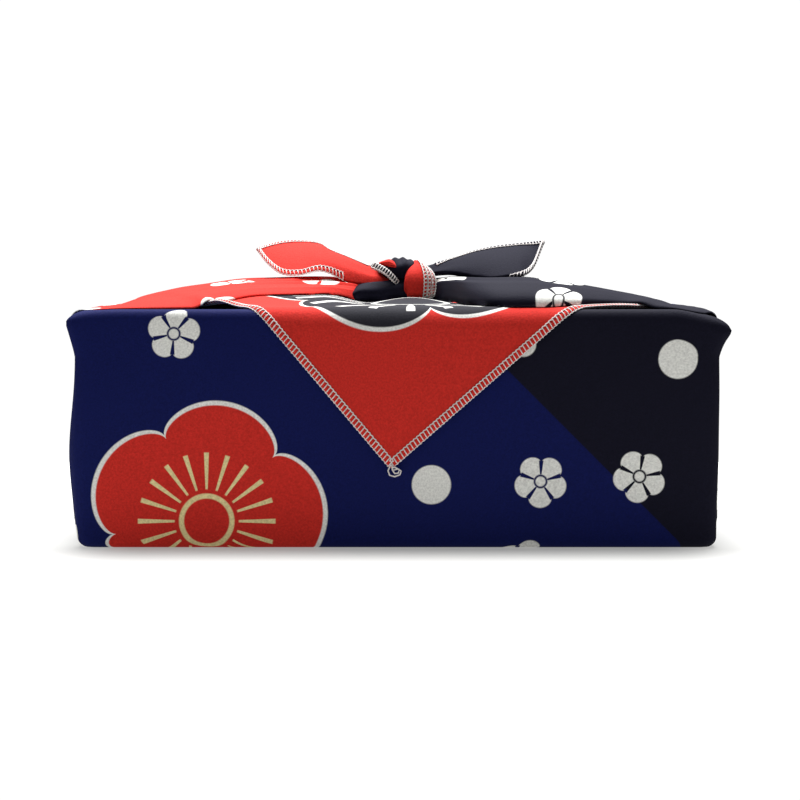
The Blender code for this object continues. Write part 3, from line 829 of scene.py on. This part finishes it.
def corner_height(x, y):
    """Height above the lid that a gathered side keeps, so that it clears the hanging corner."""
    back = y + HALF_D + FLAP_OFF_FRONT
    run = FLAP_HANG - FLAP_BEND + FLAP_BEND * math.pi / 2 + back - FLAP_BEND
    if back < FLAP_BEND:
        run = FLAP_HANG - FLAP_BEND + FLAP_BEND * math.acos(1 - max(back, 0.0) / FLAP_BEND)
    left, right = flap_edges(run)
    inward = min(x - left, right - x)
    inside = smoothstep(-FLAP_FADE, 0.002, inward)
    over = OVER_HEM + (OVER_FLAP - OVER_HEM) * smoothstep(*HEM_FADE, inward)
    return LOW_LIFT - corner_drop(x, y) + inside * (flap_point(x, run).z - TOP + over - LOW_LIFT)


def gather_top(across, v, table, tilt):
    """Height above the lid of a gathered side at a distance from the middle and a share to the front or back."""
    row = read_rows(table, GATHER_COLUMNS, "across", across)
    side = -1 if table is GATHER_LEFT else 1
    base = corner_height(side * across, v * row["front" if v < 0 else "back"])
    power, round_off = ROLL if side > 0 and v < 0 else TENT
    lift = (1 - abs(v) ** power) ** round_off
    spread = v + tilt * (1 - v * v)
    pleat = row["pleat"] * (math.cos(math.pi * PLEATS * spread) + 0.5 * math.sin(math.pi * 2.3 * PLEATS * spread))
    crown = max(row["crown"] - base, CROWN_LEAST)
    return base + crown * lift + pleat * (1 - v * v), row


def make_gather(name, side, table, tilt):
    """One gathered side of the cloth, from low on the short side to the knot."""
    far, near = table[0][0], table[-1][0]

    def locate(u, v):
        spot = 2 * v - 1
        top_out, first = gather_top(far, spot, table, tilt)
        reach_key = "front" if spot < 0 else "back"
        if u < BEND_SHARE:
            climb = min(u / WALL_SHARE, 1.0)
            z = PANEL_START + (TOP - EDGE_TOP - PANEL_START) * climb
            reach = PANEL_LOW + (first[reach_key] - PANEL_LOW) * climb
            y = spot * reach
            pleat = SIDE_PLEAT * climb**2 * math.cos(math.pi * SIDE_PLEATS * spot) * (1 - spot * spot)
            tuck = EDGE_TUCK * smoothstep(0.955, 1.0, abs(spot)) + FOOT_TUCK * (1 - smoothstep(0.0, 0.06, climb))
            out = PANEL_OFF - tuck + pleat + slack_out(side, y, z) + ear_out(side, y, z)
            if u <= WALL_SHARE:
                return Vector((side * (HALF_W + out), y, z)), z
            turn = (u - WALL_SHARE) / (BEND_SHARE - WALL_SHARE) * math.pi / 2
            share = smoothstep(0.0, math.pi / 2, turn)
            out = out * (1 - share) + top_out * share
            x = HALF_W - EDGE_TOP + (EDGE_TOP + out) * math.cos(turn)
            z = TOP - EDGE_TOP + (EDGE_TOP + out) * math.sin(turn)
            return Vector((side * x, y, z)), TOP - EDGE_TOP + EDGE_TOP * turn
        across = far + (near - far) * (u - BEND_SHARE) / (1 - BEND_SHARE)
        height, row = gather_top(across, spot, table, tilt)
        y = spot * row[reach_key]
        return Vector((side * across, y, TOP + height)), TOP + (HALF_W - across)

    def place(u, v):
        return locate(u, v)[0]

    def flat_place(u, v):
        point, run = locate(u, v)
        a = HALF_W + run
        full = HALF_W + TOP + HALF_W - near
        squeeze = smoothstep(HALF_W + TOP, full, a)
        wide = FLAT_WIDE[0] + (FLAT_WIDE[1] - FLAT_WIDE[0]) * squeeze
        a = a + (FLAT_NEAR - full) * squeeze
        b = point.y * (1 - squeeze) + (2 * v - 1) * wide * squeeze
        return (side * a, b)

    return folded_sheet(name, place, flat_place, *GATHER_GRID, flip=side < 0)


gather_left = make_gather("cloth_left_gather", -1, GATHER_LEFT, 0.05)
gather_right = make_gather("cloth_right_gather", 1, GATHER_RIGHT, -0.10)
print("gathers", len(gather_left.data.polygons), len(gather_right.data.polygons), "faces")

# %% [markdown]
# ## The free ends
# Past the knot each side's corner opens again into a leaf: the near hem lies low and towards us, the far hem stands
# higher behind it, and both run to the corner's point. We lay a grid between the two hems and cup it a little. The
# right end has its near edge folded under, up to a place near the point.

# %% Free ends
TAIL_COLUMNS = ("x", "near_y", "near_z", "far_y", "far_z", "bow")
TAIL_LEFT = (
    (-0.0020, -0.0045, 0.0090, 0.0035, 0.0160, 0.0010),
    (-0.0130, -0.0070, 0.0100, 0.0050, 0.0185, 0.0020),
    (-0.0250, -0.0100, 0.0122, 0.0085, 0.0232, 0.0028),
    (-0.0330, -0.0130, 0.0158, 0.0120, 0.0266, 0.0026),
    (-0.0375, -0.0145, 0.0166, 0.0150, 0.0298, 0.0022),
    (-0.0460, -0.0165, 0.0148, 0.0180, 0.0312, 0.0018),
    (-0.0550, -0.0140, 0.0154, 0.0140, 0.0310, 0.0012),
    (-0.0620, -0.0080, 0.0204, 0.0080, 0.0294, 0.0006),
    (-0.0672, -0.0008, 0.0266, 0.0008, 0.0276, 0.0002),
)
TAIL_RIGHT = (
    (0.0080, -0.0040, 0.0100, 0.0040, 0.0170, 0.0010),
    (0.0180, -0.0060, 0.0120, 0.0060, 0.0196, 0.0020),
    (0.0280, -0.0100, 0.0120, 0.0090, 0.0228, 0.0026),
    (0.0380, -0.0150, 0.0108, 0.0130, 0.0264, 0.0026),
    (0.0480, -0.0180, 0.0112, 0.0170, 0.0286, 0.0020),
    (0.0580, -0.0140, 0.0136, 0.0180, 0.0298, 0.0014),
    (0.0650, -0.0040, 0.0180, 0.0150, 0.0306, 0.0006),
    (0.0708, 0.0075, 0.0300, 0.0095, 0.0312, 0.0002),
)
UNDERFOLD = 4.2 * MM
UNDERFOLD_END = (52 * MM, 61 * MM)
TAIL_GRID = (90, 36)


def tail_point(table, x, v):
    """A point of a free end at a place along X and a share from its near hem to its far hem."""
    row = read_rows(table, TAIL_COLUMNS, "x", x)
    folded = 0.0
    if table is TAIL_RIGHT:
        width = math.hypot(row["far_y"] - row["near_y"], row["far_z"] - row["near_z"])
        fold = min(UNDERFOLD / width, 0.4) * (1 - smoothstep(*UNDERFOLD_END, x))
        if v < fold:
            folded = (fold - v) * width
            v = fold + (fold - v) * 0.35
    y = row["near_y"] + (row["far_y"] - row["near_y"]) * v
    z = row["near_z"] + (row["far_z"] - row["near_z"]) * v
    bow = row["bow"] * math.sin(math.pi * v)
    crease = 0.5 * MM * math.sin(math.pi * 3 * v) * (1 - smoothstep(0.02, 0.05, abs(x)))
    under = 0.9 * MM * smoothstep(0.0, 1.5 * MM, folded) + 0.35 * folded
    return Vector((x, y - bow + under, TOP + z + bow + crease - under))


def tail_width(table, x):
    """The width of a free end from hem to hem at a place along X."""
    return (tail_point(table, x, 1.0) - tail_point(table, x, 0.0)).length


def make_tail(name, table):
    """One free end of the tie."""
    first, last = table[0][0], table[-1][0]
    side = 1 if last > 0 else -1

    def place(u, v):
        return tail_point(table, first + (last - first) * u, v)

    def flat_place(u, v):
        x = first + (last - first) * u
        return (side * (HALF_DIAGONAL - abs(last - x)), (v - 0.5) * 1.6 * abs(last - x))

    return folded_sheet(name, place, flat_place, *TAIL_GRID, flip=side > 0)


tail_left = make_tail("cloth_left_end", TAIL_LEFT)
tail_right = make_tail("cloth_right_end", TAIL_RIGHT)
print("free ends", len(tail_left.data.polygons), "faces each")

# %% [markdown]
# ## The knot
# The knot shows the two gathered necks that come in low, a wide band that crosses the front, a wrinkled turn over the
# top and a small tucked piece beside it. Each is a closed tube of cloth with pleats along it, on a path of its own.

# %% Knot
KNOT_Z = 10.8 * MM
NECK_COLUMNS = ("x", "y", "z", "half_y", "half_z")
WELD = 0.000005
NECK_GRID = (64, 72)
BAND_GRID = (96, 48)


def closed_tube(name, place, flat_place, along, around, ends_meet):
    """A grid rolled into a tube of cloth by place(u, v): v goes round the tube, u along it."""
    tube = folded_sheet(name, place, flat_place, along, around, thickness=0)
    data = bmesh.new()
    data.from_mesh(tube.data)
    bmesh.ops.remove_doubles(data, verts=data.verts, dist=WELD)
    if not ends_meet:
        bmesh.ops.holes_fill(data, edges=[e for e in data.edges if e.is_boundary], sides=0)
    bmesh.ops.recalc_face_normals(data, faces=data.faces)
    data.to_mesh(tube.data)
    data.free()
    tube.data.shade_smooth()
    return tube


BAND_COLUMNS = ("turn", "left", "right")
BAND_ROWS = (
    (0.00, 0.0050, 0.0100),
    (0.15, 0.0060, 0.0096),
    (0.26, 0.0070, 0.0098),
    (0.35, 0.0052, 0.0144),
    (0.45, 0.0036, 0.0176),
    (0.54, 0.0032, 0.0178),
    (0.63, 0.0035, 0.0166),
    (0.70, 0.0038, 0.0138),
    (0.77, 0.0040, 0.0100),
    (0.87, 0.0045, 0.0095),
    (1.00, 0.0050, 0.0100),
)
BAND_SIZE = (12.4 * MM, 8.4 * MM)
BAND_THICK = 2.4 * MM


def band_point(turn, section):
    """A point of the front band: turn goes round the knot from its back over the top, section round the band itself."""
    row = read_rows(BAND_ROWS, BAND_COLUMNS, "turn", turn)
    half = (row["right"] - row["left"]) / 2
    angle = 2 * math.pi * turn
    ridge = 1 + 0.10 * math.cos(5 * section) + 0.05 * math.sin(3 * angle + 2 * section)
    out = BAND_THICK * math.sin(section) * ridge
    x = (row["left"] + row["right"]) / 2 + half * math.cos(section)
    return Vector((x, (BAND_SIZE[0] + out) * math.cos(angle), TOP + KNOT_Z + (BAND_SIZE[1] + out) * math.sin(angle)))


def make_neck(name, rows, flat_spot, pleats, folds=0):
    """A bundle of cloth in the knot: rows are x, y, height above the lid, half depth and half height."""
    first, last = rows[0][0], rows[-1][0]

    def place(u, v):
        row = read_rows(rows, NECK_COLUMNS, "x", first + (last - first) * u)
        turn = 2 * math.pi * v
        ridge = 1 + 0.05 * math.cos(pleats * turn + 1.2 * u) + 0.02 * math.cos((2 * pleats + 1) * turn)
        if folds:
            ridge = 1 + 0.07 * math.cos(2 * math.pi * folds * u + math.sin(2 * turn)) * math.sin(turn) ** 2
            ridge += 0.03 * math.cos(5 * turn + 9 * u)
        y = row["y"] + row["half_y"] * math.cos(turn) * ridge
        z = row["z"] + row["half_z"] * math.sin(turn) * ridge
        return Vector((row["x"], y, TOP + z))

    def flat_place(u, v):
        return (flat_spot[0] + 0.03 * u, flat_spot[1] + 0.03 * math.sin(2 * math.pi * v))

    return closed_tube(name, place, flat_place, *NECK_GRID, False)


RED_SPOT = (-0.43, 0.0)
BLACK_SPOT = (0.40, -0.02)
front_band = closed_tube(
    "knot_front_band",
    lambda u, v: band_point(u, 2 * math.pi * v),
    lambda u, v: (RED_SPOT[0] + 0.05 * u, RED_SPOT[1] + 0.012 * math.cos(2 * math.pi * v)),
    *BAND_GRID,
    True,
)
LEFT_NECK = (
    (-0.0260, -0.0060, 0.0030, 0.0060, 0.0010),
    (-0.0225, -0.0050, 0.0042, 0.0110, 0.0026),
    (-0.0184, -0.0045, 0.0056, 0.0130, 0.0044),
    (-0.0123, -0.0045, 0.0056, 0.0126, 0.0055),
    (-0.0060, -0.0040, 0.0060, 0.0112, 0.0056),
    (0.0000, -0.0030, 0.0069, 0.0102, 0.0061),
    (0.0057, -0.0020, 0.0078, 0.0092, 0.0060),
    (0.0110, -0.0010, 0.0086, 0.0070, 0.0044),
)
RIGHT_NECK = (
    (0.0380, -0.0020, 0.0080, 0.0200, 0.0052),
    (0.0300, -0.0020, 0.0080, 0.0180, 0.0060),
    (0.0245, -0.0010, 0.0076, 0.0125, 0.0058),
    (0.0195, 0.0000, 0.0076, 0.0088, 0.0054),
    (0.0150, 0.0020, 0.0080, 0.0068, 0.0048),
    (0.0100, 0.0030, 0.0086, 0.0056, 0.0040),
)
TOP_TURN = (
    (-0.0098, 0.0010, 0.0182, 0.0030, 0.0014),
    (-0.0072, 0.0000, 0.0178, 0.0062, 0.0034),
    (-0.0032, -0.0008, 0.0172, 0.0082, 0.0051),
    (0.0014, -0.0015, 0.0170, 0.0092, 0.0058),
    (0.0058, -0.0010, 0.0168, 0.0090, 0.0054),
    (0.0088, -0.0005, 0.0164, 0.0072, 0.0042),
    (0.0112, 0.0000, 0.0160, 0.0040, 0.0024),
)
RED_TUCK = (
    (-0.0088, -0.0030, 0.0202, 0.0020, 0.0005),
    (-0.0062, -0.0050, 0.0204, 0.0034, 0.0012),
    (-0.0036, -0.0060, 0.0202, 0.0042, 0.0019),
    (-0.0014, -0.0066, 0.0192, 0.0040, 0.0016),
    (0.0004, -0.0074, 0.0180, 0.0024, 0.0005),
)
knot_pieces = [
    front_band,
    make_neck("knot_left_neck", LEFT_NECK, BLACK_SPOT, 3),
    make_neck("knot_right_neck", RIGHT_NECK, BLACK_SPOT, 7),
    make_neck("knot_top_turn", TOP_TURN, BLACK_SPOT, 5, folds=5),
    make_neck("knot_red_tuck", RED_TUCK, RED_SPOT, 3),
]
print("knot", [piece.name for piece in knot_pieces])

# %% [markdown]
# ## Overlocked hems
# All four sides of the cloth are overlocked: threads lie across the hem every two millimetres, and a chained thread
# runs along both of its borders. We sew the thread round the edge as small closed curves, turned into meshes, over a
# folded band of the cloth itself. Four hems lie side by side on the knot's band, and one comes down over the knot.

# %% Thread material and hems
HEM_WIDTH = 3.1 * MM
HEM_PITCH = 1.9 * MM
HEM_HALF_THICK = 0.55 * MM
HEM_RUN_LEFT = 108 * MM
HEM_RUN_RIGHT = 100 * MM
THREAD = 0.26 * MM
RIDGE_SECTIONS = (0.0, 0.46, 0.80, 1.08)
RIDGE_TURNS = (0.285, 0.735)
RIDGE_WIDTH = 0.095
TAIL_STEPS = 60
RING = (
    (0.25, 0.95, 0.1),
    (0.60, 1.00, 0.3),
    (0.95, 0.75, 0.5),
    (1.04, 0.00, 0.5),
    (0.95, -0.75, 0.5),
    (0.60, -1.00, 0.3),
    (0.25, -0.95, 0.1),
)
RING_OUT = 0.15 * MM
thread_white = plain_material("hem_thread", (0.74, 0.70, 0.68), 0.75)


def sew(name, runs, radius):
    """Threads along lists of points, each list with a flag that says whether it closes, as one mesh."""
    curve = bpy.data.curves.new(name, "CURVE")
    curve.dimensions = "3D"
    curve.bevel_depth = radius
    curve.bevel_resolution = 1
    curve.use_fill_caps = True
    for points, closed in runs:
        spline = curve.splines.new("POLY")
        spline.points.add(len(points) - 1)
        for point, target in zip(points, spline.points):
            target.co = (*point, 1.0)
        spline.use_cyclic_u = closed
    maker = bpy.data.objects.new(name + "_maker", curve)
    bpy.context.scene.collection.objects.link(maker)
    bpy.context.view_layer.update()
    data = bmesh.new()
    data.from_mesh(maker.evaluated_get(bpy.context.evaluated_depsgraph_get()).to_mesh())
    bpy.data.objects.remove(maker, do_unlink=True)
    return finish_piece(name, data, thread_white)


def surface_normal(edge_at, length, inward):
    """The cloth's own direction outward at a place of an edge."""
    step = 0.3 * MM
    ahead = edge_at(length + step, inward) - edge_at(length - step, inward)
    across = edge_at(length, inward + step) - edge_at(length, inward)
    normal = ahead.cross(across)
    return normal.normalized() if normal.length > 0 else Vector((0, -1, 0))


def make_hem(name, edge_at, flat_at, length, width_at, pitch=HEM_PITCH):
    """The folded hem and its overlock stitches along an edge: edge_at(length, inward) is a point of the cloth."""
    def band_place(u, v):
        spot = u * length
        width = min(HEM_WIDTH, width_at(spot))
        turn = 2 * math.pi * v
        inward = width * (0.5 - 0.5 * math.cos(turn))
        normal = surface_normal(edge_at, spot, inward)
        return edge_at(spot, inward) + normal * (HEM_HALF_THICK * math.sin(turn) * (1.0 if width > 1e-4 else 0.0))

    def band_flat(u, v):
        return flat_at(u * length)

    band = closed_tube(name + "_band", band_place, band_flat, max(int(length / (1.2 * MM)), 8), 10, False)
    bars = []
    inner_front, inner_back, outer = [], [], []
    count = int(length / pitch)
    for index in range(count + 1):
        spot = min((index + 0.5) * pitch, length)
        width = min(HEM_WIDTH, width_at(spot))
        lift = HEM_HALF_THICK + THREAD * 0.5
        ring = []
        corners = [(share * width, height, ahead) for share, height, ahead in RING]
        for inward, height, ahead in [(-RING_OUT, 0.0, 0.0)] + corners:
            here = min(spot + ahead * pitch * 0.5, length)
            ring.append(edge_at(here, inward) + surface_normal(edge_at, here, max(inward, 0.0)) * (height * lift))
        bars.append((ring, True))
        for step in (0.0, 0.5):
            here = min(spot + step * pitch, length)
            normal = surface_normal(edge_at, here, width)
            sway = 0.22 * MM if step else -0.12 * MM
            inner_front.append(edge_at(here, width + sway) + normal * lift * 0.8)
            inner_back.append(edge_at(here, width + sway) - normal * lift * 0.8)
            outer.append(edge_at(here, -0.1 * MM + sway))
    threads = sew(name + "_bars", bars, THREAD)
    chains = [(run, False) for run in (inner_front, inner_back, outer)]
    chain = sew(name + "_chain", chains, THREAD * 1.1)
    return [band, threads, chain]


def flap_hem(name, side):
    """The hem along one edge of the hanging corner, from its point up over the lid."""
    slope = -LEFT_SLOPE if side < 0 else RIGHT_SLOPE
    size = math.hypot(slope, 1)
    start_x = FLAP_TIP_X + side * FLAP_TIP_WIDTH / 2

    def edge_at(length, inward):
        x = start_x + slope / size * length - side * inward / size
        run = length / size + inward * abs(slope) / size
        return flap_point(x, run)

    def flat_at(length):
        return (start_x + slope / size * length, HALF_DIAGONAL - length / size)

    total = (HEM_RUN_LEFT if side < 0 else HEM_RUN_RIGHT) * size
    return make_hem(name, edge_at, flat_at, total, lambda spot: HEM_WIDTH)


def tail_hem(name, table, far):
    """The hem along the near or far edge of a free end, from the knot to the corner's point."""
    last = table[-1][0]
    first = table[1][0] if far else table[2][0]
    if table is TAIL_RIGHT and not far:
        first = UNDERFOLD_END[0]
    way = 1 if last > first else -1
    edge = 1.0 if far else 0.0
    xs = [first + (last - first) * i / TAIL_STEPS for i in range(TAIL_STEPS + 1)]
    lengths = [0.0]
    for before, after in zip(xs, xs[1:]):
        lengths.append(lengths[-1] + (tail_point(table, after, edge) - tail_point(table, before, edge)).length)

    def x_at(length):
        length = min(max(length, 0.0), lengths[-1] - 1e-7)
        index = max(i for i in range(TAIL_STEPS) if lengths[i] <= length)
        share = (length - lengths[index]) / (lengths[index + 1] - lengths[index])
        return xs[index] + (xs[index + 1] - xs[index]) * share

    def edge_at(length, inward):
        x = x_at(length)
        share = inward / max(tail_width(table, x), MM)
        return tail_point(table, x, 1.0 - share if far else share)

    def flat_at(length):
        x = x_at(length)
        return (way * (HALF_DIAGONAL - abs(last - x)), (0.8 if far else -0.8) * abs(last - x))

    def width_at(length):
        return min(HEM_WIDTH, 0.5 * tail_width(table, x_at(length)))

    return make_hem(name, edge_at, flat_at, lengths[-1], width_at)


def knot_ridge(name, section):
    """One of the hems that lie side by side along the right of the front band."""
    first, last = RIDGE_TURNS
    total = 2 * math.pi * BAND_SIZE[0] * (last - first)

    def turn_at(length):
        return first + (last - first) * min(max(length / total, 0.0), 1.0)

    def band_width(length):
        row = read_rows(BAND_ROWS, BAND_COLUMNS, "turn", turn_at(length))
        return row["right"] - row["left"]

    def edge_at(length, inward):
        return band_point(turn_at(length), section + 2 * inward / band_width(length))

    return make_hem(name, edge_at, lambda length: RED_SPOT, total, lambda length: RIDGE_WIDTH * band_width(length))


STRIP_START = Vector((-11.0 * MM, -8.5 * MM, TOP + 20.6 * MM))
STRIP_END = Vector((0.8 * MM, -9.5 * MM, TOP + 11.6 * MM))
STRIP_PITCH = 1.25 * MM
STRIP_INWARD = Vector((-0.62, -0.30, -0.72))
STRIP_BOW = Vector((0.4, -2.0, 0.8)) * (1.4 * MM)
STRIP_TAPER = 0.35


def strip_edge(length, inward):
    """The hem of the right end where it comes down over the knot."""
    share = length / (STRIP_END - STRIP_START).length
    bow = STRIP_BOW * math.sin(math.pi * min(max(share, 0.0), 1.0))
    return STRIP_START.lerp(STRIP_END, share) + bow + STRIP_INWARD * inward


def point_threads():
    """The loose loop of hem thread at the point of the hanging corner."""
    tip = flap_point(FLAP_TIP_X, 0.0)
    loops = (
        ((0.0, 1.5), (-1.3, -1.2), (-0.6, -3.2), (1.6, -3.8), (3.8, -3.0), (4.4, -1.4), (3.0, -0.4), (1.0, -1.0)),
        ((0.4, 1.5), (0.6, -0.8), (1.6, -2.4), (3.2, -2.2), (3.6, -0.8), (2.0, 0.2), (0.2, 0.4)),
    )
    runs = []
    for index, loop in enumerate(loops):
        depth = (0.4 + 0.6 * index) * MM
        runs.append(([tip + Vector((x * MM, -depth, z * MM)) for x, z in loop], False))
    return sew("hem_point_threads", runs, THREAD * 1.4)


hem_pieces = flap_hem("hem_corner_left", -1) + flap_hem("hem_corner_right", 1)
hem_pieces.append(point_threads())
knot_hems = []
for number, section in enumerate(RIDGE_SECTIONS):
    knot_hems += knot_ridge(f"hem_knot_ridge_{number + 1}", section)
strip_length = (STRIP_END - STRIP_START).length
knot_hems += make_hem(
    "hem_knot_strip",
    strip_edge,
    lambda length: BLACK_SPOT,
    strip_length,
    lambda length: HEM_WIDTH * (1 - STRIP_TAPER * length / strip_length),
    STRIP_PITCH,
)
end_hems = {}
for end_name, end_table in (("left", TAIL_LEFT), ("right", TAIL_RIGHT)):
    end_hems[end_name] = tail_hem(f"hem_{end_name}_end_near", end_table, False)
    end_hems[end_name] += tail_hem(f"hem_{end_name}_end_far", end_table, True)
print("hem pieces", len(hem_pieces) + sum(len(group) for group in end_hems.values()))

# %% [markdown]
# ## The box inside
# The box only shows if someone looks under a fold. It is plain board, so a faint fibre tone is all that it needs.

# %% Box material
def board_material():
    """Plain pale board with a faint fibre."""
    made = plain_material("plain_board", (0.60, 0.52, 0.40), 0.8)
    tree = made.node_tree
    ramp = add_node(tree, "ShaderNodeValToRGB", {"Fac": object_noise(tree, {"Scale": 300.0})})
    ramp.color_ramp.elements[0].color = (0.52, 0.44, 0.33, 1.0)
    ramp.color_ramp.elements[1].color = (0.66, 0.58, 0.46, 1.0)
    tree.links.new(ramp.outputs["Color"], tree.nodes["Principled BSDF"].inputs["Base Color"])
    return made


gift_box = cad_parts["gift_box"]
if isinstance(gift_box, str):
    gift_box = bpy.data.objects[gift_box]
gift_box.data.materials.clear()
gift_box.data.materials.append(board_material())
print("box material set")

# %% [markdown]
# The whole wrap is one cloth of 700 mm square. The area of each stretch that we modelled is printed, so that it
# can be compared with a real, unstretched cloth.

# %% Areas of the sheets
def measured_area(piece):
    """The area of one side of a sheet's own mesh."""
    return sum(face.area for face in piece.data.polygons)


for piece in (body, flap, gather_left, gather_right, tail_left, tail_right):
    print(piece.name, "area", round(measured_area(piece), 5))
for gather, area, knot_group in (
    (gather_left, 0.038, knot_pieces[:2] + knot_hems),
    (gather_right, 0.036, knot_pieces[2:]),
):
    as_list(knot_group)
for tail, end_name in ((tail_left, "left"), (tail_right, "right")):
    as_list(end_hems[end_name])
